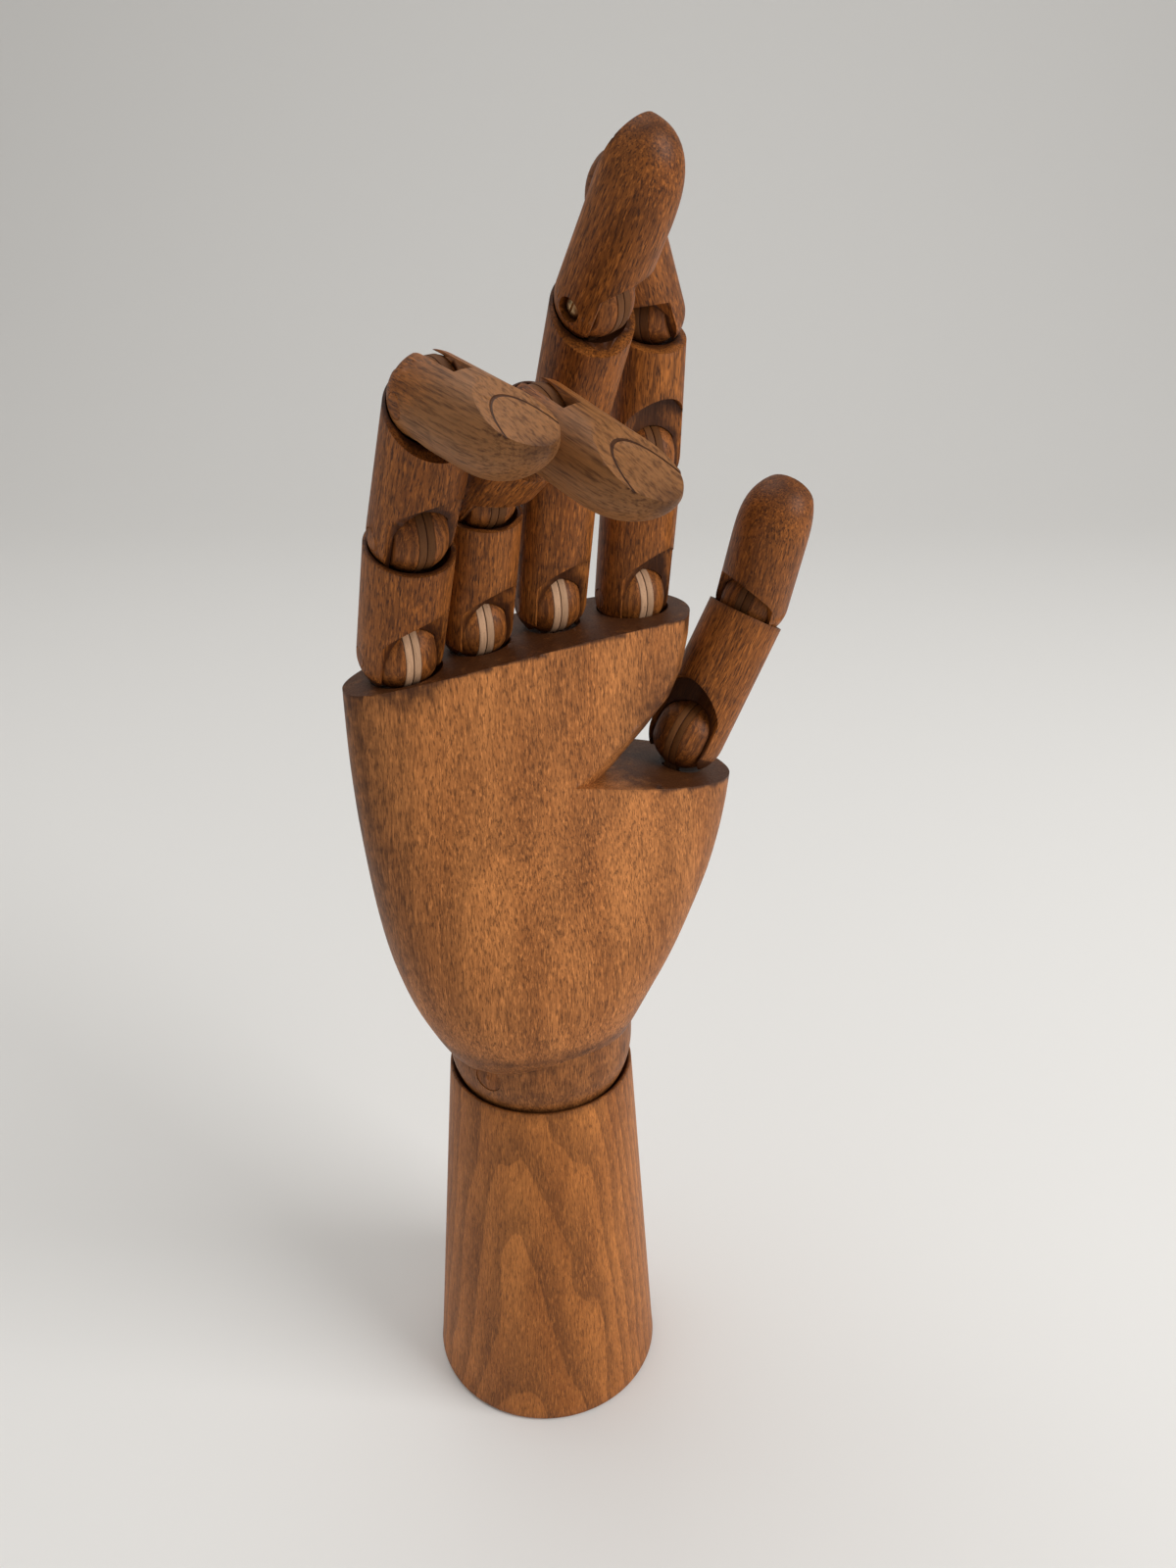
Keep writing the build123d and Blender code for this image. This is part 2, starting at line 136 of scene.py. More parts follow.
class HandSizes(bpy.types.PropertyGroup):
    """Sizes shared by the pieces of the hand."""

    base_radius: length("Base Radius", "Radius of the forearm at the floor", 30.0)
    base_top_radius: length("Base Top Radius", "Radius of the forearm at the wrist", 22.7)
    base_height: length("Base Height", "Height of the forearm", 98.0)
    wrist_height: length("Wrist Height", "Height of the wrist's centre above the floor", 106.0)
    stub_radius: length("Stub Radius", "Radius of the domed stub under the palm", 22.6)
    stub_height: length("Stub Height", "Height of the stub above the wrist's centre", 12.0)
    cup_gap: length("Cup Gap", "Gap between the stub and the cup of the forearm", 0.3)
    bolt_bore: length("Bolt Bore", "Radius of the bore for the eyebolt", 2.2)
    foot_bore: length("Foot Bore", "Radius of the bore under the forearm", 9.0)
    foot_depth: length("Foot Bore Depth", "Depth of the bore under the forearm", 40.0)
    dowel_radius: length("Dowel Radius", "Radius of the wrist's cross dowel", 3.4)
    eye_room: length("Eye Room", "Radius of the hollow round the eye in the palm", 6.9)
    joint_gap: length("Joint Gap", "Gap between a heel and the dish that it turns in", 0.3)
    ball_gap: length("Ball Gap", "Gap between a ball and the hollow of its phalanx", 0.25)
    cheek_gap: length("Cheek Gap", "Gap between a ball's cheek and the ear beside it", 0.2)
    tongue: length("Tongue Thickness", "Thickness of the tongue in each ball", 3.2)
    hub_radius: length("Hub Radius", "Radius of the core that the tongue turns round", 2.4)
    stem_radius: length("Stem Radius", "Radius of the stem under a tongue", 2.3)
    stem_length: length("Stem Length", "Length of the stem under a tongue", 7.0)
    rim_drop: length("Rim Drop", "How far a cup's rim lies under the joint's centre", 3.3)
    ear_reach: length("Ear Reach", "How far in front of the pin the ears reach", 2.8)
    arch_share: share("Arch Share", "Half width of the arch over a ball as a share of its heel", 0.95)
    pin_radius: length("Pin Radius", "Radius of the shank of a cross pin", 1.1)
    pin_head: length("Pin Head Radius", "Radius of the flush head of a cross pin", 2.2)
    ball_share: share("Ball Share", "Radius of a ball as a share of its heel", 0.9)
    cheek_share: share("Cheek Share", "Half width of a ball as a share of its radius", 0.72)


class PalmSizes(bpy.types.PropertyGroup):
    """Sizes of the palm block, measured from the wrist's centre."""

    height: length("Palm Height", "Height of the block before its top is rounded", 111.0)
    left: length("Palm Left", "Reach of the block on the little finger's side", 41.2)
    right: length("Palm Right", "Reach of the block on the thumb's side", 51.0)
    depth: length("Palm Depth", "Half depth of the block at its belly", 26.0)
    crown_radius: length("Crown Radius", "Radius of the rounded top", 357.0)
    crown_place: length("Crown Place", "Where the rounded top is highest, towards the thumb", 39.0)
    crown_height: length("Crown Height", "Height of the rounded top where it is highest", 105.9)
    ledge_place: length("Ledge Place", "Where the height of the thumb's ledge is taken", 37.4)
    ledge_height: length("Ledge Height", "Height of the thumb's ledge", 66.5)
    ledge_slope: angle("Ledge Slope", "Slope of the thumb's ledge", 12.0)


def finger_sizes(label, heel, tops, lengths, bend):
    """A property group with one finger's sizes as its defaults."""
    props = {
        "heel": length("Heel Radius", "Radius of the lower end of the first phalanx", heel),
        "proximal_length": length("First Length", "Length of the first phalanx", lengths[0]),
        "distal_length": length("Tip Length", "Length of the fingertip", lengths[-1]),
        "proximal_top": length("First Top Radius", "Radius of the first phalanx's top", tops[0]),
        "distal_bend": angle("Tip Bend", "Bend of the fingertip as photographed", bend),
    }
    if len(lengths) > 2:
        props["middle_length"] = length("Second Length", "Length of the second phalanx", lengths[1])
        props["middle_top"] = length("Second Top Radius", "Radius of the second phalanx's top", tops[1])
    notes = {"__annotations__": props, "__doc__": "Sizes of the " + label.lower() + "."}
    return type(label + "Sizes", (bpy.types.PropertyGroup,), notes)


class WoodColours(bpy.types.PropertyGroup):
    """Colours of the wood, the metal and the studio."""

    stain: colour("Stain", "Main colour of the stained beech", (0.255, 0.083, 0.019))
    light: colour("Light Grain", "Lighter early wood", (0.45, 0.165, 0.043))
    # The dark colour also paints the shade in corners, hollows and undersides, and the grime at the fingertips.
    dark: colour("Dark Grain", "Pores, flecks and grime", (0.036, 0.010, 0.003))
    worn: colour("Worn Wood", "Greyer wood of the worn fingertips", (0.28, 0.125, 0.045))
    pale: colour("Pale Ply", "Unstained plies of the tongues", (0.53, 0.31, 0.18))
    brass: colour("Brass", "The one brass screw", (0.62, 0.42, 0.22))
    steel: colour("Steel", "The eyebolt in the wrist", (0.45, 0.45, 0.46))
    floor: colour("Floor", "The pale studio floor and backdrop", (0.80, 0.79, 0.77))


# Modelling helpers


def deselect():
    bpy.ops.object.select_all(action="DESELECT")


def choose(piece):
    deselect()
    piece.select_set(True)
    bpy.context.view_layer.objects.active = piece


@contextmanager
def editing(piece):
    """Edit mode on one piece, with all of it selected."""
    choose(piece)
    bpy.ops.object.mode_set(mode="EDIT")
    bpy.ops.mesh.select_all(action="SELECT")
    yield
    bpy.ops.object.mode_set(mode="OBJECT")


def modify(piece, kind, **settings):
    """Adds a modifier and applies it."""
    choose(piece)
    modifier = piece.modifiers.new(kind.title(), kind)
    for name, value in settings.items():
        setattr(modifier, name, value)
    bpy.ops.object.modifier_apply(modifier=modifier.name)


def combine(piece, tool, operation="DIFFERENCE"):
    """Cuts with, joins or keeps what is inside a tool piece, and removes the tool."""
    before = piece.data.copy()
    for solver in SOLVERS:
        modify(piece, "BOOLEAN", **{"object": tool, "operation": operation, "solver": "EXACT", **solver})
        if len(piece.data.vertices) > LOST:
            break
        piece.data = before.copy()
        tool.data.transform(NUDGE)
    else:
        raise RuntimeError("nothing was left of " + piece.name + " after " + tool.name)
    bpy.data.objects.remove(tool)


def settled(piece):
    """Brings a piece's place, turn and size into its mesh."""
    choose(piece)
    bpy.ops.object.transform_apply(location=True, rotation=True, scale=True)
    return piece


def block(centre, size):
    deselect()
    bpy.ops.mesh.primitive_cube_add(size=1, location=centre, scale=size)
    return settled(bpy.context.object)


def rod_at(centre, radius, depth, turn=(0, 0, 0), sides=64):
    deselect()
    bpy.ops.mesh.primitive_cylinder_add(vertices=sides, radius=radius, depth=depth, location=centre, rotation=turn)
    return settled(bpy.context.object)


def drawn(name, points, edges, faces):
    """A new piece from its points, edges and faces."""
    mesh = bpy.data.meshes.new(name)
    mesh.from_pydata(points, edges, faces)
    piece = bpy.data.objects.new(name, mesh)
    bpy.context.collection.objects.link(piece)
    return piece


def turned(name, outline, axis=(0, 0, 1), steps=96):
    """Spins a closed outline, given as (distance from the axis, place along it), about an axis."""
    along = Vector(axis)
    side = Vector((0, 1, 0)) if along.x else Vector((1, 0, 0))
    count = len(outline)
    points = [side * out + along * place for out, place in outline]
    piece = drawn(name, points, [(i, (i + 1) % count) for i in range(count)], [])
    with editing(piece):
        bpy.ops.mesh.spin(steps=steps, angle=FULL_TURN, center=(0, 0, 0), axis=axis)
        bpy.ops.mesh.select_all(action="SELECT")
        bpy.ops.mesh.remove_doubles(threshold=SEAM)
        bpy.ops.mesh.normals_make_consistent(inside=False)
    return piece


def lofted(name, rings):
    """A piece through rings of points, closed at both ends."""
    count = len(rings[0])
    points = [point for ring in rings for point in ring]
    last = count * (len(rings) - 1)
    faces = [list(range(count)), list(range(last, last + count))[::-1]]
    for low in range(0, last, count):
        high = low + count
        steps = [(i, (i + 1) % count) for i in range(count)]
        faces += [[low + i, high + i, high + j, low + j] for i, j in steps]
    piece = drawn(name, points, [], faces)
    with editing(piece):
        bpy.ops.mesh.normals_make_consistent(inside=False)
    return piece


def divide(piece, planes):
    """Splits the faces of a piece along planes, each given as a point and a direction."""
    with editing(piece):
        for place, way in planes:
            bpy.ops.mesh.select_all(action="SELECT")
            bpy.ops.mesh.bisect(plane_co=place, plane_no=way)


def arc(radius, start, end, steps):
    """Points (out, along) of an arc about the origin; angles from the outward direction, in degrees."""
    bearings = [radians(start + (end - start) * i / steps) for i in range(steps + 1)]
    return [(radius * cos(bearing), radius * sin(bearing)) for bearing in bearings]


def soften(piece, width, segments=2, limit=28):
    """Rounds the crisp edges a little, as handling does."""
    settings = {"limit_method": "ANGLE", "angle_limit": radians(limit), "use_clamp_overlap": True}
    modify(piece, "BEVEL", width=width, segments=segments, **settings)
    smooth(piece)


def smooth(piece, limit=32):
    choose(piece)
    bpy.ops.object.shade_smooth_by_angle(angle=radians(limit))


# Painted shade and grime: strengths from 0 to 1, worked out for a point of a piece in millimetres


def clamp(value):
    return max(0.0, min(1.0, value))


def fade(distance, reach):
    """1 at no distance, falling to 0 at the reach."""
    return max(0.0, 1 - distance / reach)


def from_axis(p):
    return sqrt(p.x**2 + p.y**2)


def mark_grain(piece, seed, shade_and_grime=None):
    """Keeps each point's own place in the piece, in millimetres and shifted by the piece's seed, for the wood."""
    mesh = piece.data
    shift = Vector((seed * 37.1 % 50, seed * 23.7 % 41, seed * 61.3 % 97))
    spots = [vertex.co / MM for vertex in mesh.vertices]
    layers = (
        ("grain", "FLOAT_VECTOR", "vector", [value for spot in spots for value in spot + shift]),
        ("own", "FLOAT_VECTOR", "vector", [value for spot in spots for value in spot]),
        # Third layer: how much painted shade in corners, hollows and undersides, and grime at the fingertips, darkens
        # each point.
        ("shade_and_grime", "FLOAT", "value", [shade_and_grime(spot) if shade_and_grime else 0.0 for spot in spots]),
    )
    for name, kind, field, values in layers:
        mesh.attributes.new(name, kind, "POINT").data.foreach_set(field, values)


def finish_piece(piece, name, place, body, finish, slot, *nodes):
    """Sets a local piece in its place, on its body and in its finish."""
    piece.name = name
    piece.data.name = name
    piece.matrix_world = place
    settled(piece)
    piece.data.materials.clear()
    piece.data.materials.append(finish)
    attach(piece, body)
    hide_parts(*nodes)


# Places of the joints and sizes along a finger


def direction(joint):
    return Vector(joints[joint]["axis"]).normalized()


def frame_at(x, z, centre):
    """A frame from its X and Z directions and its centre."""
    place = Matrix((x, z.cross(x), z)).transposed().to_4x4()
    place.translation = centre
    return place


def ball_frame(tag):
    """Frame of a joint: X along its pin, Z up its stem."""
    return frame_at(direction(tag + "_bend"), direction(tag + "_swivel"), Vector(joints[tag + "_bend"]["pos_m"]))


def phalanx_frame(tag, above, bend):
    """Frame of the phalanx on a joint: Z runs to the next joint, or is bent by a stated angle."""
    place = ball_frame(tag)
    if above is None:
        return place @ Matrix.Rotation(bend, 4, "X")
    return frame_at(direction(tag + "_bend"), direction(above + "_swivel"), place.translation)


def heels(scene, finger):
    """The segments of a finger from the palm outwards, each with the radius of its heel."""
    f = getattr(scene, finger + "_sizes")
    if finger == "thumb":
        return [("proximal", f.heel), ("distal", f.proximal_top - STEP_IN)]
    return [("proximal", f.heel), ("middle", f.proximal_top - STEP_IN), ("distal", f.middle_top - STEP_IN)]


def cheek(s, finger, ball):
    """Half the width of a ball."""
    return (s.cheek_share + (THUMB_CHEEK if finger == "thumb" else 0.0)) * ball


# Materials


class Value:
    """A number or vector socket with Python's operators."""

    def __init__(self, finish, socket):
        self.finish = finish
        self.socket = socket

    def math(self, operation, other=None, swap=False):
        first, second = (other, self) if swap else (self, other)
        return self.finish.make("ShaderNodeMath", {"operation": operation}, {0: first, 1: second})["Value"]

    def __add__(self, other):
        return self.math("ADD", other)

    __radd__ = __add__

    def __mul__(self, other):
        return self.math("MULTIPLY", other)

    __rmul__ = __mul__

    def __sub__(self, other):
        return self.math("SUBTRACT", other)

    def __rsub__(self, other):
        return self.math("SUBTRACT", other, swap=True)

    def __truediv__(self, other):
        return self.math("DIVIDE", other)

    def size(self):
        return self.math("ABSOLUTE")

    def root(self):
        return self.math("SQRT")

    def fraction(self):
        return self.math("FRACT")

    def above(self, low, high):
        """0 below low, 1 over high, smooth between."""
        settings = {"interpolation_type": "SMOOTHSTEP"}
        node = self.finish.make("ShaderNodeMapRange", settings, {"Value": self, "From Min": low, "From Max": high})
        return node["Result"]


class Outputs:
    """A node's outputs by name."""

    def __init__(self, finish, node):
        self.finish = finish
        self.node = node

    def __getitem__(self, name):
        return Value(self.finish, self.node.outputs[name])


class Finish:
    """Builds one material."""

    def __init__(self, name):
        self.material = bpy.data.materials.new(name)
        self.material.use_nodes = True
        self.tree = self.material.node_tree
        self.shader = self.tree.nodes["Principled BSDF"]

    def make(self, kind, settings=None, inputs=None):
        """Adds a node with its settings, then its values or links, and gives its outputs by name."""
        node = self.tree.nodes.new(kind)
        for name, value in (settings or {}).items():
            setattr(node, name, value)
        for key, value in (inputs or {}).items():
            self.feed(node.inputs[key], value)
        return Outputs(self, node)

    def feed(self, socket, value):
        """Links a value or sets a number or colour; None leaves the socket as it is."""
        if value is None:
            return
        if isinstance(value, Value):
            self.tree.links.new(value.socket, socket)
        elif hasattr(value, "__len__") and socket.type == "RGBA" and len(value) == 3:
            socket.default_value = (*value, 1.0)
        else:
            socket.default_value = value

    def attribute(self, name, output="Vector"):
        return self.make("ShaderNodeAttribute", {"attribute_name": name})[output]

    def parts(self, vector):
        node = self.make("ShaderNodeSeparateXYZ", None, {0: vector})
        return node["X"], node["Y"], node["Z"]

    def vector(self, x, y, z):
        return self.make("ShaderNodeCombineXYZ", None, {0: x, 1: y, 2: z})["Vector"]

    def noise(self, vector, scale, detail=2.0, roughness=0.5):
        inputs = {"Vector": vector, "Scale": scale, "Detail": detail, "Roughness": roughness}
        return self.make("ShaderNodeTexNoise", {"noise_dimensions": "3D"}, inputs)["Fac"]

    def mix(self, factor, first, second):
        """Mixes two colours."""
        node = self.tree.nodes.new("ShaderNodeMix")
        node.data_type = "RGBA"
        sockets = [s for s in node.inputs if s.enabled]
        for socket, value in zip(sockets, (factor, first, second)):
            self.feed(socket, value)
        return Value(self, [s for s in node.outputs if s.enabled][0])

    def surface(self, **values):
        """Sets or links the shader's own sockets."""
        for name, value in values.items():
            self.feed(self.shader.inputs[name.replace("_", " ")], value)

    def bump(self, height, strength, distance):
        node = self.make("ShaderNodeBump", None, {"Strength": strength, "Distance": distance, "Height": height})
        self.surface(Normal=node["Normal"])


def scaled(colour_value, factor):
    return tuple(factor * v for v in colour_value)


def beech(name, shade, pith, ring_space, rings, streak, worn=None):
    """Stained beech: growth rings, fibres, pores and paler specks, with grime in the corners."""
    finish = Finish(name)
    colours = bpy.context.scene.wood_colours
    tint = tuple(h * v for h, v in zip(shade, colours.stain))
    light = tuple(h * v for h, v in zip(shade, colours.light))
    bright = scaled(light, 1.6)
    dark = tuple(colours.dark)
    x, y, z = finish.parts(finish.attribute("grain"))

    def cloud(across, along, detail, roughness=0.5, shift=None):
        """Noise stretched along the grain, by its frequencies across and along it per millimetre."""
        side = x * across if shift is None else x * across + shift
        return finish.noise(finish.vector(side, y * across, z * along), 1.0, detail, roughness)

    wander = cloud(0.05, 0.012, 2.0)
    px = x - pith[0]
    py = y - pith[1]
    out = (px * px + py * py).root() + wander * 9.0 + z * pith[2]
    ring = (out / ring_space).fraction()
    late = ring.above(0.15, 0.97) * (1 - ring.above(0.97, 1.0))
    patch = cloud(0.08, 0.016, 3.0, 0.55)
    fibre = cloud(2.0, 0.14, 3.0, 0.6)
    pores = cloud(3.4, 0.45, 2.0, 0.6)
    specks = cloud(2.5, 0.4, 2.0, 0.6, 31.0)
    body = finish.mix(patch.above(0.25, 0.78), tint, light)
    body = finish.mix(late * rings, body, dark)
    body = finish.mix(specks.above(0.50, 0.68) * 0.5 * streak, body, bright)
    body = finish.mix(fibre.above(0.44, 0.70) * 0.6 * streak, body, dark)
    body = finish.mix(pores.above(0.51, 0.64) * 0.8 * streak, body, dark)
    if worn is not None:
        height = finish.parts(finish.attribute("own"))[2]
        rub = (height + (patch - 0.5) * 30.0).above(-4.0, 14.0)
        body = finish.mix(rub * 0.8, body, finish.mix(fibre.above(0.42, 0.72) * 0.7, worn, dark))
    # Painted shade: the layer darkens corners, hollows and undersides towards the dark colour, broken up by noise; at
    # the fingertips' ends it is grime.
    shade_and_grime = finish.attribute("shade_and_grime", "Fac")
    mottle = cloud(0.35, 0.35, 3.0, 0.6)
    darkening = (shade_and_grime * 1.1 + (mottle - 0.5) * shade_and_grime * 1.6).above(0.12, 0.95)
    body = finish.mix(darkening * 0.88, body, dark)
    finish.surface(Base_Color=body, Roughness=0.38 + fibre * 0.24, Specular_IOR_Level=0.2)
    finish.bump(fibre * 0.55 + pores * -0.45, 0.4, 0.12 * MM)
    return finish.material


def ply(name, pale):
    """The edge of the plywood tongue with its dark glue line."""
    finish = Finish(name)
    dark = tuple(bpy.context.scene.wood_colours.dark)
    x, y, z = finish.parts(finish.attribute("own"))
    streaks = finish.noise(finish.vector(x * 2.0, y * 0.35, z * 0.35), 1.0, 3.0)
    wobble = (finish.noise(finish.vector(0.0, y * 0.5, z * 0.5), 1.0, 2.0) - 0.5) * 0.3
    line = 1 - (x + wobble * 0.4).size().above(0.06, 0.2)
    edge = x.size().above(1.25, 1.6)
    body = finish.mix(streaks.above(0.35, 0.7), pale, scaled(pale, 0.8))
    specks = finish.noise(finish.vector(x * 3.0, y * 3.0, z * 3.0), 1.0, 2.0)
    # Painted shade: the tongue darkens where it runs down into the phalanx.
    shade_and_grime = finish.attribute("shade_and_grime", "Fac")
    for layer in (specks.above(0.62, 0.75) * 0.4, line * 0.75, edge * 0.35, shade_and_grime * 0.6):
        body = finish.mix(layer, body, dark)
    finish.surface(Base_Color=body, Roughness=0.65, Specular_IOR_Level=0.2)
    finish.bump(streaks + line * -1.0, 0.3, 0.1 * MM)
    return finish.material


def metal(name, tint, rough, darkening):
    """Metal with dull patches."""
    finish = Finish(name)
    coords = finish.make("ShaderNodeTexCoord")["Object"]
    patches = finish.noise(coords, 900.0, 3.0)
    body = finish.mix(patches.above(0.45, 0.8), tint, darkening)
    finish.surface(Base_Color=body, Metallic=1.0, Roughness=rough + patches * 0.2)
    return finish.material


def paper(name, tint):
    """The dull paper of the studio's floor and backdrop."""
    finish = Finish(name)
    finish.surface(Base_Color=tint, Roughness=0.9)
    return finish.material


materials = {}


def make_materials():
    """All finishes of the hand."""
    colours = bpy.context.scene.wood_colours
    dark = tuple(colours.dark)
    for wood, look in WOODS.items():
        materials[wood] = beech(wood + "_beech", **look)
    materials["tip"] = beech("tip_beech", **WOODS["finger"], worn=tuple(colours.worn))
    materials["ply"] = ply("tongue_ply", tuple(colours.pale))
    materials["thumb_ply"] = ply("tongue_brown", scaled(colours.light, 0.4))
    materials["old_ply"] = ply("tongue_dark", scaled(colours.light, 0.3))
    materials["brass"] = metal("brass", tuple(colours.brass), 0.3, dark)
    materials["steel"] = metal("steel", tuple(colours.steel), 0.4, dark)


# Pieces


class HAND_OT_forearm(bpy.types.Operator):
    """Turns the tapered forearm with its cup and foot bore"""

    bl_idname = "hand.forearm"
    bl_label = "Forearm"

    def execute(self, context):
        s = context.scene.hand_sizes
        cup = s.stub_radius + s.cup_gap
        rise = s.wrist_height
        rim = sqrt(cup**2 - (rise - s.base_height) ** 2)
        foot_edge = 1.2 * MM
        rim_edge = 0.35 * MM
        chamfer_width, chamfer_drop = 0.55 * MM, 1.5 * MM
        rings, cup_steps = 24, 20
        outline = [(s.foot_bore, 0), (s.base_radius - foot_edge, 0)]
        bends = [radians(a) for a in (30, 60, 85)]
        outline += [(s.base_radius - foot_edge + foot_edge * sin(a), foot_edge - foot_edge * cos(a)) for a in bends]
        taper = s.base_top_radius - s.base_radius
        outline += [(s.base_radius + taper * i / rings, s.base_height * i / rings) for i in range(1, rings)]
        outline += [
            (s.base_top_radius, s.base_height - rim_edge),
            (s.base_top_radius - rim_edge * 0.3, s.base_height - rim_edge * 0.3),
            (s.base_top_radius - rim_edge, s.base_height),
            (rim + chamfer_width, s.base_height),
        ]
        drop = rise + chamfer_drop - s.base_height
        low = atan2(-drop, sqrt(cup**2 - drop**2))
        for i in range(cup_steps + 1):
            a = low + (-pi / 2 - low) * i / cup_steps
            if cup * cos(a) < s.bolt_bore:
                break
            outline.append((cup * cos(a), rise + cup * sin(a)))
        outline += [(s.bolt_bore, rise - sqrt(cup**2 - s.bolt_bore**2)), (s.bolt_bore, s.foot_depth)]
        outline += [(s.foot_bore, s.foot_depth)]
        piece = turned("forearm", outline, steps=128)
        smooth(piece)
        top = s.base_height / MM
        radius = s.base_radius / MM

        def shade_and_grime(p):
            out = from_axis(p)
            # Painted shade inside the rim and in a band under it, below the overhanging stub.
            rim_dark = 1.0 if p.z > top - 2.0 and out < 22.1 else fade(top - p.z, 2.2) * 0.5
            # Painted contact shadow next to the floor.
            foot_dark = fade(p.z, 3.0) * 0.45
            # Painted shade inside the cup and the bore.
            inner = 0.8 if out < radius * 0.7 and p.z > 50 else 0.0
            return max(rim_dark, foot_dark, inner)

        mark_grain(piece, 0, shade_and_grime)
        finish_piece(piece, "forearm", Matrix.Identity(4), "base", materials["base"], "base_wood", "forearm_base")
        return {"FINISHED"}


def palm_point(height, sections, bearing, squareness):
    """Place on the palm's section at a height, for a bearing round it."""
    low = 0
    while low < len(sections) - 2 and height > sections[low + 1][0]:
        low += 1
    first, second = sections[low], sections[low + 1]
    before = sections[max(low - 1, 0)]
    after = sections[min(low + 2, len(sections) - 1)]
    run = second[0] - first[0]
    t = (height - first[0]) / run
    t2, t3 = t**2, t**3
    values = []
    for k in range(1, 5):
        step = second[k] - first[k]
        slope_low = step if before is first else (second[k] - before[k]) / (second[0] - before[0]) * run
        slope_high = step if after is second else (after[k] - first[k]) / (after[0] - first[0]) * run
        value = first[k] * (2 * t3 - 3 * t2 + 1) + second[k] * (3 * t2 - 2 * t3)
        values.append(value + slope_low * (t3 - 2 * t2 + t) + slope_high * (t3 - t2))
    left, right, front, back = values
    c, s = cos(bearing), sin(bearing)
    power = 2 / squareness
    x = (right - left) / 2 + (right + left) / 2 * (1 if c > 0 else -1) * abs(c) ** power
    y = (back if s > 0 else -front) * abs(s) ** power
    return x, y


class HAND_OT_palm(bpy.types.Operator):
    """Shapes the palm block, its stub, thumb ledge and dishes"""

    bl_idname = "hand.palm"
    bl_label = "Palm"

    def execute(self, context):
        s = context.scene.hand_sizes
        b = context.scene.palm_sizes
        piece = self.rough_block(b)
        outline = [(0, s.stub_height)] + [(s.stub_radius, s.stub_height * k / 4) for k in (4, 3, 2, 1)]
        combine(piece, turned("stub", outline + arc(s.stub_radius, 0, -90, 24), steps=144), "UNION")
        crown = (b.crown_place, 0, b.crown_height - b.crown_radius)
        combine(piece, rod_at(crown, b.crown_radius, 4 * b.depth, (pi / 2, 0, 0), 720), "INTERSECT")
        self.cut_ledge(piece, b)
        self.hollow_wrist(piece, s)
        palm_place = Matrix.Translation((0, 0, s.wrist_height))
        to_palm = palm_place.inverted()
        for finger in DIGITS:
            heel = getattr(context.scene, finger + "_sizes").heel
            combine(piece, dish(heel, s, to_palm @ ball_frame(finger + "_proximal")))
        step = 3.1 * MM
        planes = [((step * i, 0, 0), (1, 0, 0)) for i in range(-13, 17)]
        divide(piece, planes + [((0, step * i, 0), (0, 1, 0)) for i in range(-4, 5)])
        soften(piece, 0.45 * MM, 3, 24)
        roots = [to_palm @ ball_frame(f + "_proximal").translation / MM for f in DIGITS]
        stub_top = 8.5
        ledge_place, crown_place = b.ledge_place / MM, b.crown_place / MM
        ledge_top, crown_top = b.ledge_height / MM - 0.5, b.crown_height / MM - 0.15
        crown_width = 2 * b.crown_radius / MM

        def shade_and_grime(p):
            near = min((p - root).length for root in roots)
            # Painted shade in and round the dishes at the finger roots.
            socket = fade(max(0.0, near - 8.8), 7.0)
            on_ledge = p.z > ledge_top - 0.21 * (p.x - ledge_place)
            # Painted shade on the ledge round the thumb's root, in the curve of the finger block.
            notch = fade(max(0.0, (p - roots[-1]).length - 12.0), 26.0) if on_ledge else 0.0
            # Painted shade on the little finger's side, which faces away from the key lamp.
            side = 0.58 * clamp((-p.x - 24.0) / 16.0) * clamp((p.z - 14.0) / 20.0)
            # Painted shade on the stub under the palm's belly, with a painted shadow line where the belly meets it.
            stub = 0.44 if p.z < stub_top else 0.6 * fade(p.z - stub_top, 5.0)
            # Painted shade over the rounded top face.
            top = 0.85 if p.z > crown_top - (p.x - crown_place) ** 2 / crown_width else 0.0
            return min(1.0, max(socket, notch, side, stub, top))

        mark_grain(piece, 3, shade_and_grime)
        finish_piece(piece, "palm_block", palm_place, "hand", materials["palm"], "palm_wood", "palm")
        return {"FINISHED"}

    def rough_block(self, b):
        """The block before it is cut: a cylinder divided into rings and brought to the palm's sections."""
        sizes = (b.height, b.left, b.right, b.depth, b.depth)
        sections = [tuple(part * size for part, size in zip(row, sizes)) for row in PALM_SHARES]
        piece = rod_at((0, 0, b.height / 2), 1.0, b.height, sides=144)
        divide(piece, [((0, 0, b.height * i / PALM_RINGS), (0, 0, 1)) for i in range(1, PALM_RINGS)])
        for vertex in piece.data.vertices:
            bearing = atan2(vertex.co.y, vertex.co.x)
            x, y = palm_point(max(vertex.co.z, 0), sections, bearing, 2.3)
            vertex.co = (x, y, vertex.co.z)
        return piece

    def cut_ledge(self, piece, b):
        """Takes away what lies above the thumb's ledge and outside the finger block."""
        oval_x, oval_y = 26.0 * MM, 18.5 * MM
        far_left = -90.0 * MM
        sides = 96
        bearings = [-pi / 2 + pi * i / sides for i in range(sides + 1)]
        rings = []
        for height, end in BLOCK_ENDS:
            centre = end * MM - oval_x
            ring = [(centre + oval_x * cos(a), oval_y * sin(a)) for a in bearings]
            ring += [(far_left, oval_y), (far_left, -oval_y)]
            rings.append([(x, y, height * MM) for x, y in ring])
        room = 200.0 * MM
        above = block((0, 0, room / 2), (room, room, room))
        above.matrix_world = Matrix.Translation((b.ledge_place, 0, b.ledge_height)) @ Matrix.Rotation(b.ledge_slope, 4, "Y")
        combine(settled(above), lofted("keep", rings))
        combine(piece, above)

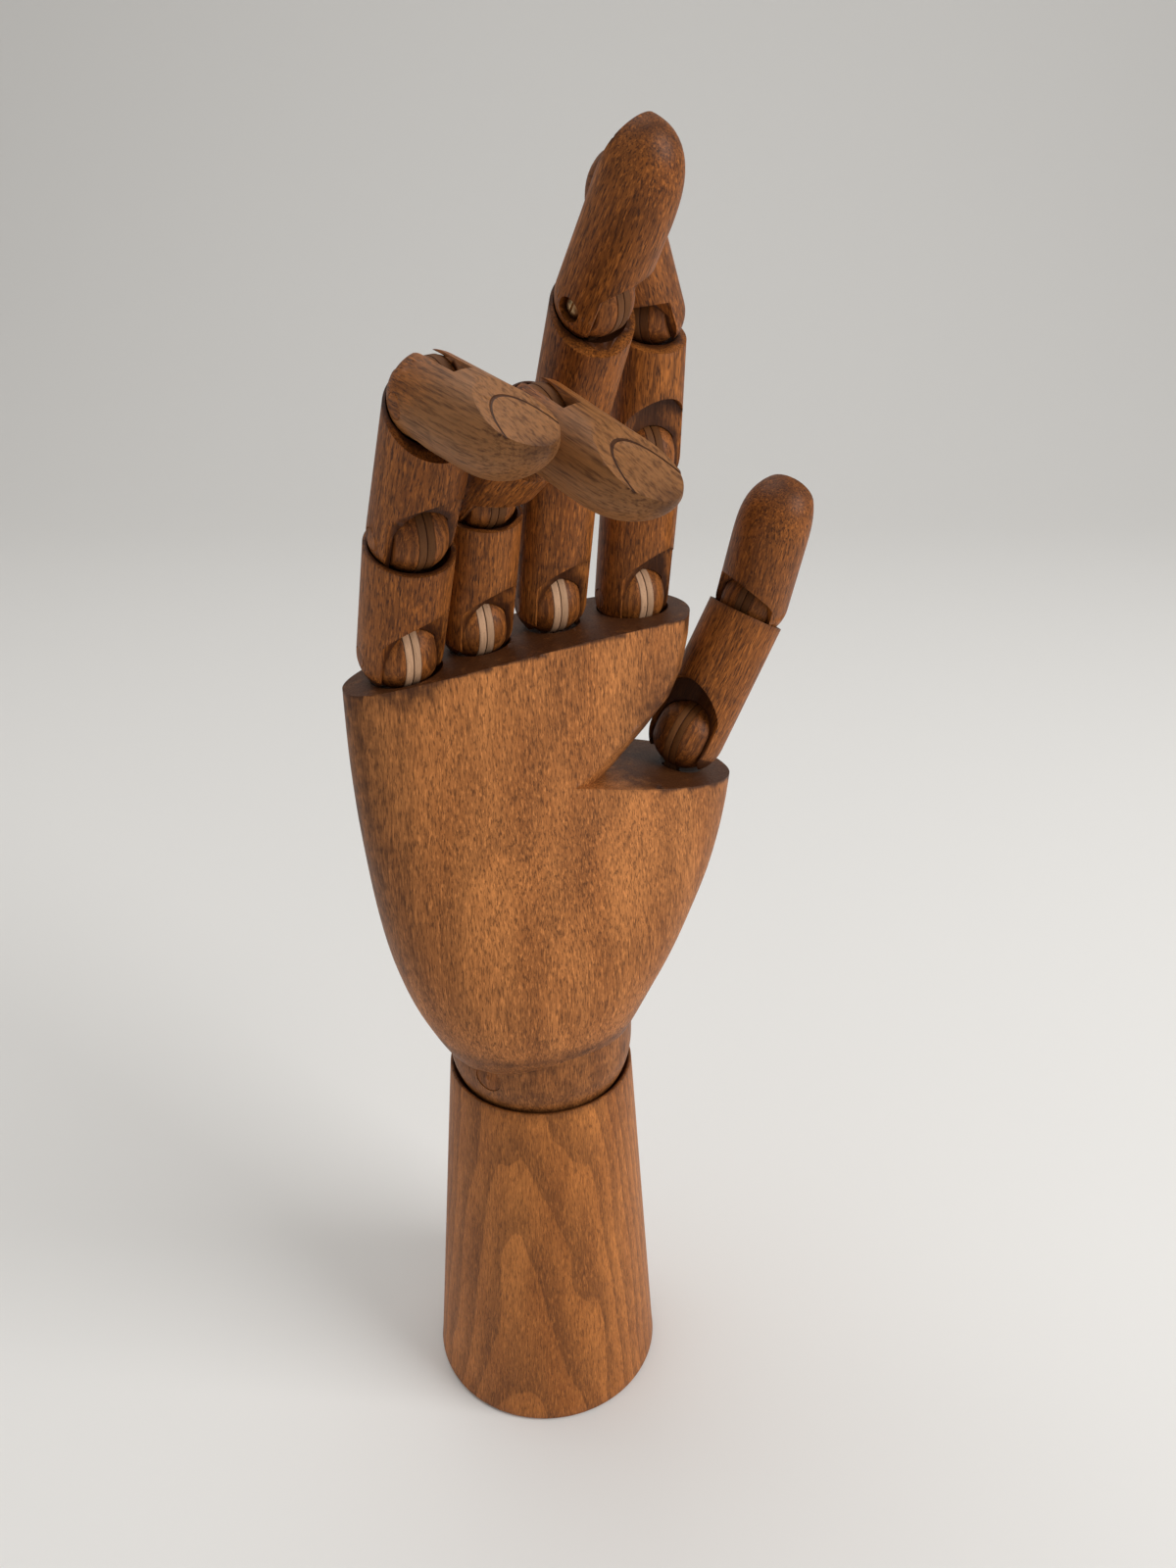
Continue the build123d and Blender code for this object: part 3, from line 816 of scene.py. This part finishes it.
    def hollow_wrist(self, piece, s):
        """Room for the eye, the mouth that lets the bolt tilt, and the dowel's hole."""
        deselect()
        bpy.ops.mesh.primitive_uv_sphere_add(segments=48, ring_count=24, radius=s.eye_room, location=(0, 0, 0))
        combine(piece, settled(bpy.context.object))
        mouth, throat = 12.06152 * MM, 3.2 * MM
        depth = s.stub_radius + 2.0 * MM
        deselect()
        bpy.ops.mesh.primitive_cone_add(
            vertices=64, radius1=mouth, radius2=throat, depth=depth, location=(0, 0, -depth / 2)
        )
        combine(piece, settled(bpy.context.object))
        combine(piece, rod_at((0, 0, 0), s.dowel_radius + 0.1 * MM, 4 * s.stub_radius, (0, pi / 2, dowel_bearing())))


def dowel_bearing():
    way = Vector(joints["wrist_tilt"]["axis"])
    return atan2(way.y, way.x)


def dish(heel, s, place):
    """A tool piece: room for a heel, open upwards, and the stem's bore."""
    radius = heel + s.joint_gap
    depth = s.stem_length + 0.4 * MM
    overlap = 2 * MM
    tool = turned("dish", [(0, 2 * heel), (radius, 2 * heel)] + arc(radius, 0, -90, 24), steps=72)
    bore = rod_at((0, 0, -radius - depth / 2), s.stem_radius + 0.1 * MM, depth + overlap, sides=32)
    combine(tool, bore, "UNION")
    tool.matrix_world = place
    return settled(tool)


def fork(piece, finger, heel, arch, turn, s, screwed):
    """Opens the lower end of a phalanx: an arch in front, turned a little, room for the ball and the slot behind."""
    ball = s.ball_share * heel
    room = 2 * (heel + 2 * MM)
    front = heel + 2 * MM
    half_arch = s.arch_share * heel
    rise = arch - half_arch
    opening = [(out, rise + up) for out, up in arc(half_arch, 0, 180, 40)]
    opening += [(-half_arch, -2 * heel), (half_arch, -2 * heel)]
    opening = lofted("arch", [[(x, y, z) for x, z in opening] for y in (-front, -s.ear_reach)])
    opening.data.transform(Matrix.Rotation(turn, 4, "Z"))
    reach = 3 * front
    combine(opening, block((0, -s.ear_reach - reach / 2, 0), (reach, reach, reach)), "INTERSECT")
    combine(piece, opening)
    hollow = ball + s.ball_gap
    half = cheek(s, finger, ball) + s.cheek_gap
    bar = turned("hollow", [(hollow, -front)] + arc(hollow, 0, 90, 20)[:-1] + [(0, hollow), (0, -front)], steps=72)
    combine(bar, block((0, 0, 0), (2 * half, room, 3 * room)), "INTERSECT")
    combine(piece, bar)
    kerf = s.tongue + 0.5 * MM
    start = -0.31 * MM
    foot = -front - 0.5 * MM
    peak = hollow + 0.05 * MM
    outline = [(start, foot), (front, foot), (front, 1.45 * heel), (hollow / 2, peak), (start, peak)]
    combine(piece, lofted("slot", [[(x, y, z) for y, z in outline] for x in (-kerf / 2, kerf / 2)]))
    sink = 2.2 * MM if screwed else 1.6 * MM
    ease = 0.05 * MM
    across = (0, pi / 2, 0)
    combine(piece, rod_at((-heel - 1 * MM + sink / 2, 0, 0), s.pin_head + ease, sink + 2 * MM, across, 40))
    combine(piece, rod_at((-0.6 * MM, 0, 0), s.pin_radius + ease, 2 * heel - 1.2 * MM, across, 32))


class HAND_OT_phalanges(bpy.types.Operator):
    """Turns and cuts the first and second phalanges"""

    bl_idname = "hand.phalanges"
    bl_label = "Phalanges"

    def execute(self, context):
        seed = 5
        for finger in DIGITS:
            f = getattr(context.scene, finger + "_sizes")
            chain = heels(context.scene, finger)
            for (segment, heel), (above, next_heel) in zip(chain, chain[1:]):
                run, top = getattr(f, segment + "_length"), getattr(f, segment + "_top")
                self.phalanx(finger, segment, above, heel, next_heel, top, run, context.scene.hand_sizes, seed)
                seed += 1
        return {"FINISHED"}

    def phalanx(self, finger, segment, above, heel, next_heel, top, run, s, seed):
        arch_share, turn, tilt = (THUMB_ARCHES if finger == "thumb" else FINGER_ARCHES)[segment]
        arch = arch_share * heel
        rings = 14
        side = [(heel + (top - heel) * k / rings, run * k / rings) for k in range(1, rings + 1)]
        piece = turned("phalanx", arc(heel, -90, 0, 20) + side + [(0, run)])
        size = 4 * next_heel
        lid = block((0, 0, 0), (size, size, size))
        lid.matrix_world = (
            Matrix.Translation((0, 0, run))
            @ Matrix.Rotation(radians(tilt), 4, "X")
            @ Matrix.Translation((0, 0, size / 2 - s.rim_drop))
        )
        combine(piece, settled(lid))
        combine(piece, dish(next_heel, s, Matrix.Translation((0, 0, run))))
        fork(piece, finger, heel, arch, radians(turn), s, False)
        soften(piece, 0.16 * MM)
        rim = (run - s.rim_drop) / MM
        low = heel / MM
        arch_mm = arch / MM

        def shade_and_grime(p):
            # Painted shade at the cup's rim, where the next heel sits.
            edge = fade(rim - p.z, 2.5) * 0.5
            # Painted shadow under the edge of the arch in front.
            lip = fade(abs(p.z - arch_mm), 1.8) * 0.5 if p.y < 0 else 0.0
            # Painted shade inside the hollow round the ball.
            inner = 1.0 if from_axis(p) < low * 0.93 and p.z > -low else 0.0
            # Painted shade on the lower half of the heel, down in its dish.
            heel_shade = clamp(-p.z / low) * 0.5
            return max(edge, lip, inner, heel_shade)

        mark_grain(piece, seed, shade_and_grime)
        tag = finger + "_" + segment
        place = phalanx_frame(tag, finger + "_" + above, 0.0)
        finish_piece(piece, tag + "_wood", place, tag + "_finger", materials["finger"], "finger_wood", tag + "_phalanx")


class HAND_OT_fingertips(bpy.types.Operator):
    """Carves the fingertips with their nails"""

    bl_idname = "hand.fingertips"
    bl_label = "Fingertips"

    def execute(self, context):
        for seed, finger in enumerate(DIGITS, 21):
            f = getattr(context.scene, finger + "_sizes")
            heel = heels(context.scene, finger)[-1][1]
            self.fingertip(finger, heel, f.distal_length, f.distal_bend, context.scene.hand_sizes, seed)
        return {"FINISHED"}

    def fingertip(self, finger, heel, run, bend, s, seed):
        tag = finger + "_distal"
        sharp = finger in ("pinky", "ring")
        piece = self.rough_tip(heel, run, sharp)
        half = turned("heel", [(heel, 0)] + arc(heel, 0, -90, 20)[1:] + [(0, 0)])
        combine(piece, half, "UNION")
        self.nail(piece, heel, run, sharp)
        arch_share, turn, _ = (THUMB_ARCHES if finger == "thumb" else FINGER_ARCHES)["distal"]
        arch = arch_share * heel
        fork(piece, finger, heel, arch, radians(turn), s, finger == "middle")
        soften(piece, 0.14 * MM)
        low = heel / MM
        tall = run / MM
        arch_mm = arch / MM
        plane, middle, across, along = self.nail_plane(heel, run, sharp)
        plane = plane.inverted()

        def shade_and_grime(p):
            flat = plane @ (p * MM)
            ring = (flat.x / across) ** 2 + ((flat.z - middle) / along) ** 2
            # Painted shade in the groove round the nail.
            root = 0.9 if abs(ring - 1) < 0.2 and -0.3 * MM < flat.y < -0.03 * MM else 0.0
            # Painted shadow under the arch's edge, and painted shade in the hollow and on the heel, as on the other
            # phalanges.
            lip = fade(abs(p.z - arch_mm), 1.6) * 0.5 if p.y < 0 else 0.0
            inner = 0.9 if from_axis(p) < low * 0.86 and p.z < low * 1.3 else 0.0
            heel_shade = clamp(-p.z / low) * 0.4
            # Grime towards the end of the tip.
            tip = fade(tall - p.z, 5.0) * 0.55
            return max(root, lip, inner, heel_shade, tip)

        mark_grain(piece, seed, shade_and_grime)
        place = phalanx_frame(tag, None, bend)
        finish = materials["tip" if sharp else "finger"]
        finish_piece(piece, tag + "_wood", place, tag + "_finger", finish, "finger_wood", tag + "_phalanx")

    def rough_tip(self, heel, run, sharp):
        """A cylinder divided into rings and rounded at its end, more so in front than behind."""
        side_power, front_power, lift = (2.4, 1.9, 0.36) if sharp else (4.2, 4.2, 0.20)
        pad_start, back_start, back_power = 0.48, 0.84, 2.6
        piece = rod_at((0, 0, run / 2), heel, run, sides=96)
        divide(piece, [((0, 0, run * t), (0, 0, 1)) for t in TIP_CUTS])

        def rounded(part, power):
            return max(1 - part**power, 0.002) ** 0.5

        for vertex in piece.data.vertices:
            t = min(max(vertex.co.z / run, 0.0), 1.0)
            bearing = atan2(vertex.co.y, vertex.co.x)
            full = heel * (1 - 0.04 * t)
            pad = max(0.0, (t - pad_start) / (1 - pad_start))
            nail_end = max(0.0, (t - back_start) / (1 - back_start))
            depth = rounded(nail_end, back_power) if vertex.co.y > 0 else rounded(pad, front_power)
            vertex.co.x = full * rounded(pad, side_power) * cos(bearing)
            vertex.co.y = full * depth * sin(bearing) + lift * heel * pad**2.2
        return piece

    def nail_plane(self, heel, run, sharp):
        """The nail's plane, with the middle and half sizes of the oval groove round it."""
        start, end = 0.45 * run, run
        high, low = 0.97 * heel, (0.34 if sharp else 0.52) * heel
        lean = atan2(high - low, end - start)
        along = 0.72 * (end - start) / cos(lean)
        place = Matrix.Translation((0, high, start)) @ Matrix.Rotation(lean, 4, "X")
        return place, 5.0 * MM + along, 0.66 * heel, along

    def nail(self, piece, heel, run, sharp):
        """A sloping cut leaves the nail, and a groove runs round its root and sides."""
        place, middle, across, along = self.nail_plane(heel, run, sharp)
        size = 3 * run
        tool = block((0, size / 2, 0), (size, size, size))
        tool.matrix_world = place
        combine(piece, settled(tool))
        deselect()
        bpy.ops.mesh.primitive_torus_add(
            major_radius=across, minor_radius=0.16 * MM, major_segments=120, minor_segments=10
        )
        groove = bpy.context.object
        groove.matrix_world = (
            place
            @ Matrix.Translation((0, 0.02 * MM, middle))
            @ Matrix.Rotation(pi / 2, 4, "X")
            @ Matrix.Diagonal((1, along / across, 1, 1))
        )
        combine(piece, settled(groove))


class HAND_OT_balls(bpy.types.Operator):
    """Turns the balls, their tongues and the cross pins"""

    bl_idname = "hand.balls"
    bl_label = "Balls, Tongues and Pins"

    def execute(self, context):
        s = context.scene.hand_sizes
        seed = 31
        for finger in DIGITS:
            bend = getattr(context.scene, finger + "_sizes").distal_bend
            chain = heels(context.scene, finger)
            for number, (segment, heel) in enumerate(chain, 1):
                tag = finger + "_" + segment
                self.ball(tag, finger, heel, s, seed)
                kind = "old_ply" if segment != "proximal" else "thumb_ply" if finger == "thumb" else "ply"
                self.tongue(tag, heel, s, seed, kind)
                above = finger + "_" + chain[number][0] if number < len(chain) else None
                place = phalanx_frame(tag, above, bend)
                if tag == "middle_distal":
                    self.screw(tag, heel, s, place)
                else:
                    self.pin(tag, heel, s, seed, place)
                seed += 1
        return {"FINISHED"}

    def ball(self, tag, finger, heel, s, seed):
        ball = s.ball_share * heel
        outer = cheek(s, finger, ball)
        half = s.tongue / 2 + 0.03 * MM
        hole = s.pin_radius + 0.1 * MM
        bow = [half + (outer - half) * k / 8 for k in range(9)]
        wing = [(sqrt(ball**2 - x**2), x) for x in bow]
        outline = [(hole, -outer)] + [(out, -x) for out, x in wing[::-1]]
        outline += [(s.hub_radius, -half), (s.hub_radius, half)] + wing + [(hole, outer)]
        piece = turned("ball", outline, (1, 0, 0))
        soften(piece, 0.1 * MM)
        radius = ball / MM

        def shade_and_grime(p):
            # Painted shade on the cheeks, next to the ears.
            side = fade(radius * 0.75 - abs(p.x), 1.0) * 0.4
            # Painted shade on the underside of the ball.
            under = clamp((-p.z - radius * 0.35) / (radius * 0.6)) * 0.75
            # Painted shade inside the ball.
            inner = 0.8 if p.length < radius * 0.93 else 0.0
            return max(side, under, inner)

        mark_grain(piece, seed, shade_and_grime)
        finish_piece(
            piece, tag + "_halves", ball_frame(tag), tag + "_knuckle", materials["ball"], "ball_wood", tag + "_ball"
        )

    def tongue(self, tag, heel, s, seed, kind):
        ball = s.ball_share * heel
        half = s.tongue / 2 - 0.02 * MM
        inner = s.hub_radius + 0.05 * MM
        out = sqrt(ball**2 - half**2) + 0.06 * MM
        notch, proud, deep = 0.10 * MM, 0.02 * MM, 0.16 * MM
        outline = [(inner, -half), (out, -half), (out + proud, -notch), (out - deep, 0), (out + proud, notch)]
        piece = turned("tongue", outline + [(out, half), (inner, half)], (1, 0, 0))
        neck_top = -(inner + ball) / 2
        stem_top = -heel - s.joint_gap
        neck_end = stem_top - s.stem_radius / 2
        width = 2 * sqrt((0.94 * s.stem_radius) ** 2 - half**2)
        neck = block((0, 0, (neck_top + neck_end) / 2), (2 * half, width, neck_top - neck_end))
        combine(piece, neck, "UNION")
        stem = rod_at((0, 0, stem_top - s.stem_length / 2), s.stem_radius, s.stem_length, sides=32)
        combine(piece, stem, "UNION")
        soften(piece, 0.06 * MM, 1)
        radius = ball / MM

        def shade_and_grime(p):
            # Painted shade on the tongue's lower part, down inside the phalanx.
            return clamp((-p.z - radius * 0.6) / (radius * 0.5))

        mark_grain(piece, seed, shade_and_grime)
        finish_piece(
            piece, tag + "_plies", ball_frame(tag), tag + "_knuckle", materials[kind], "tongue_wood", tag + "_tongue"
        )

    def pin(self, tag, heel, s, seed, place):
        """A wooden pin with a flush, slightly rounded head."""
        outer = heel - 0.2 * MM
        end = heel - 1.2 * MM
        neck = -outer + 1.4 * MM
        outline = [
            (0, -outer - 0.05 * MM),
            (1.2 * MM, -outer - 0.04 * MM),
            (s.pin_head - 0.25 * MM, -outer),
            (s.pin_head, -outer + 0.2 * MM),
            (s.pin_head, neck),
            (s.pin_radius, neck),
            (s.pin_radius, end - 0.3 * MM),
            (s.pin_radius - 0.3 * MM, end),
            (0, end),
        ]
        piece = turned("pin", outline, (1, 0, 0), 48)
        smooth(piece)
        mark_grain(piece, seed + 40)
        finish_piece(piece, tag + "_peg", place, tag + "_finger", materials["finger"], "pin_wood", tag + "_pin")

    def screw(self, tag, heel, s, place):
        """The brass screw with its domed head and slot."""
        outer = heel - 1.1 * MM
        end = heel - 1.2 * MM
        head, dome_height = 1.6 * MM, 0.55 * MM
        neck = -outer + 2 * dome_height
        bends = [radians(a) for a in range(0, 91, 15)]
        outline = [(head * sin(a), -outer + dome_height - dome_height * cos(a)) for a in bends]
        outline += [(head, neck), (s.pin_radius, neck), (s.pin_radius, end), (0, end)]
        piece = turned("screw", outline, (1, 0, 0), 48)
        combine(piece, block((-outer, 0, 0), (0.7 * MM, 0.45 * MM, 5 * MM)))
        soften(piece, 0.06 * MM)
        finish_piece(piece, tag + "_brass", place, tag + "_finger", materials["brass"], "screw_metal", tag + "_screw")


class HAND_OT_wrist(bpy.types.Operator):
    """Turns the cross dowel and the foot plug and finishes the eyebolt"""

    bl_idname = "hand.wrist"
    bl_label = "Wrist Pieces"

    def execute(self, context):
        s = context.scene.hand_sizes
        self.dowel(s)
        self.plug(s)
        bolt = frame["nodes"]["wrist_eyebolt"]
        bolt.data.materials.clear()
        bolt.data.materials.append(materials["steel"])
        return {"FINISHED"}

    def dowel(self, s):
        """The cross dowel, its ends dressed to the round of the stub."""
        reach = sqrt(s.stub_radius**2 - s.dowel_radius**2) - 0.1 * MM
        outs = [s.dowel_radius * k / 6 for k in range(1, 6)]
        outline = [(0, -reach - 0.5 * MM)] + [(out, -sqrt(s.stub_radius**2 - out**2) + 0.15 * MM) for out in outs]
        outline += [(s.dowel_radius, -reach + 0.1 * MM)]
        outline += [(out, -place) for out, place in outline[::-1]]
        piece = turned("dowel", outline, (1, 0, 0), 64)
        smooth(piece)
        rim = s.dowel_radius / MM

        def shade_and_grime(p):
            # Painted shade round the rim of each end, in the gap to the stub.
            return 0.4 * fade(rim - sqrt(p.y**2 + p.z**2), 0.5)

        mark_grain(piece, 91, shade_and_grime)
        place = Matrix.Translation((0, 0, s.wrist_height)) @ Matrix.Rotation(dowel_bearing(), 4, "Z")
        finish_piece(
            piece, "wrist_cross_dowel", place, "wrist_rod", materials["ball"], "dowel_wood", "wrist_dowel"
        )

    def plug(self, s):
        """The disc that closes the bore under the forearm."""
        radius = s.foot_bore - 0.05 * MM
        edge = 0.2 * MM
        thick = 6 * MM
        outline = [(0, 0), (radius - edge, 0), (radius, edge), (radius, thick), (0, thick)]
        plug = turned("plug", outline, steps=64)
        smooth(plug)
        mark_grain(plug, 97)
        finish_piece(
            plug, "foot_disc", Matrix.Identity(4), "base", materials["finger"], "plug_wood", "foot_plug"
        )


class HAND_OT_stage(bpy.types.Operator):
    """Builds the plain studio: a pale floor, soft lamps and the camera"""

    bl_idname = "hand.stage"
    bl_label = "Studio"

    # Bearing of the camera's view, clockwise from Y.
    heading = radians(23.2)

    def execute(self, context):
        self.backdrop(context.scene)
        self.lamp("key", (0.80, -0.85, 0.85), 0.8, 13.5)
        self.lamp("fill", (-1.1, -0.5, 0.7), 1.2, 1.1)
        self.lamp("top", (-0.1, 0.4, 1.3), 1.0, 5.0)
        world = bpy.data.worlds.new("studio_air")
        context.scene.world = world
        world.use_nodes = True
        air = world.node_tree.nodes["Background"].inputs
        air["Color"].default_value = (0.95, 0.93, 0.90, 1)
        air["Strength"].default_value = 0.40
        self.camera(context.scene)
        context.scene.view_settings.view_transform = "Standard"
        return {"FINISHED"}

    def backdrop(self, scene):
        """A floor that sweeps up behind the hand, as seen from the camera."""
        bend, flat, front, high, thick, half_width = 0.8, 0.9, -3.0, 4.0, 0.1, 4.0
        bends = [radians(a) for a in range(6, 91, 6)]
        sweep = [(front, 0.0), (flat, 0.0)] + [(flat + bend * sin(a), bend - bend * cos(a)) for a in bends]
        sweep += [(flat + bend, high), (flat + bend + thick, high), (flat + bend + thick, -thick), (front, -thick)]
        floor = lofted("studio_floor", [[(x, y, z) for y, z in sweep] for x in (-half_width, half_width)])
        floor.data.transform(Matrix.Rotation(-self.heading, 4, "Z"))
        smooth(floor, 20)
        floor.data.materials.append(paper("studio_paper", tuple(scene.wood_colours.floor)))

    def camera(self, scene):
        """The photograph's viewpoint."""
        camera = bpy.data.cameras.new("camera")
        focal_pixels, photo_height = 1250.0, 1600.0
        camera.sensor_width = 36.0
        camera.lens = focal_pixels / photo_height * camera.sensor_width
        camera.sensor_fit = "AUTO"
        camera.clip_start = 0.01
        seat = bpy.data.objects.new("camera", camera)
        scene.collection.objects.link(seat)
        pitch = 0.459
        roll = -0.0042
        seat.location = (-86.1 * MM, -231.7 * MM, 295.8 * MM)
        east, north = sin(self.heading), cos(self.heading)
        forward = Vector((east * cos(pitch), north * cos(pitch), -sin(pitch)))
        right = Vector((north, -east, 0))
        up = right.cross(forward)
        x = right * cos(roll) + up * sin(roll)
        y = up * cos(roll) - right * sin(roll)
        seat.rotation_euler = Matrix((x, y, -forward)).transposed().to_euler()
        scene.camera = seat

    def lamp(self, name, place, size, power):
        """A square soft lamp aimed at the middle of the hand."""
        light = bpy.data.lights.new(name, "AREA")
        light.energy = power
        light.size = size
        seat = bpy.data.objects.new(name, light)
        bpy.context.scene.collection.objects.link(seat)
        seat.location = place
        aim = Vector((0, 0, 0.15)) - Vector(place)
        seat.rotation_euler = aim.to_track_quat("-Z", "Y").to_euler()


class HAND_PT_panel(bpy.types.Panel):
    """Lists the hand's sizes, colours and pieces"""

    bl_label = "Wooden Hand"
    bl_idname = "HAND_PT_panel"
    bl_space_type = "VIEW_3D"
    bl_region_type = "UI"
    bl_category = "Wooden Hand"

    def draw(self, context):
        layout = self.layout
        for group in GROUPS:
            settings = getattr(context.scene, group)
            layout.label(text=group.replace("_", " ").title())
            for name in settings.bl_rna.properties.keys():
                if name not in ("rna_type", "name"):
                    layout.prop(settings, name)
        for step in STEPS:
            layout.operator(step.bl_idname)


STEPS = (
    HAND_OT_forearm, HAND_OT_palm, HAND_OT_phalanges, HAND_OT_fingertips, HAND_OT_balls, HAND_OT_wrist,
    HAND_OT_stage,
)
GROUPS = {
    "hand_sizes": HandSizes,
    "palm_sizes": PalmSizes,
    "pinky_sizes": finger_sizes("Pinky", 8.8, (8.8, 8.3), (29.0, 29.9, 32.6), 70.2),
    "ring_sizes": finger_sizes("Ring", 7.7, (7.9, 7.9), (29.7, 29.5, 35.6), 51.1),
    "middle_sizes": finger_sizes("Middle", 7.7, (7.8, 7.9), (33.8, 34.7, 32.43), 8.3),
    "index_sizes": finger_sizes("Index", 8.1, (8.1, 7.3), (31.1, 27.4, 36.0), 42.8),
    "thumb_sizes": finger_sizes("Thumb", 8.9, (8.8,), (33.9, 31.5), 40.8),
    "wood_colours": WoodColours,
}


def register():
    for name, group in GROUPS.items():
        bpy.utils.register_class(group)
        setattr(bpy.types.Scene, name, PointerProperty(type=group))
    for step in STEPS + (HAND_PT_panel,):
        bpy.utils.register_class(step)


def unregister():
    for step in reversed(STEPS + (HAND_PT_panel,)):
        bpy.utils.unregister_class(step)
    for name, group in reversed(GROUPS.items()):
        delattr(bpy.types.Scene, name)
        bpy.utils.unregister_class(group)


def main():
    register()
    make_materials()
    for step in STEPS:
        family, name = step.bl_idname.split(".")
        getattr(getattr(bpy.ops, family), name)()


if __name__ == "__main__":
    main()
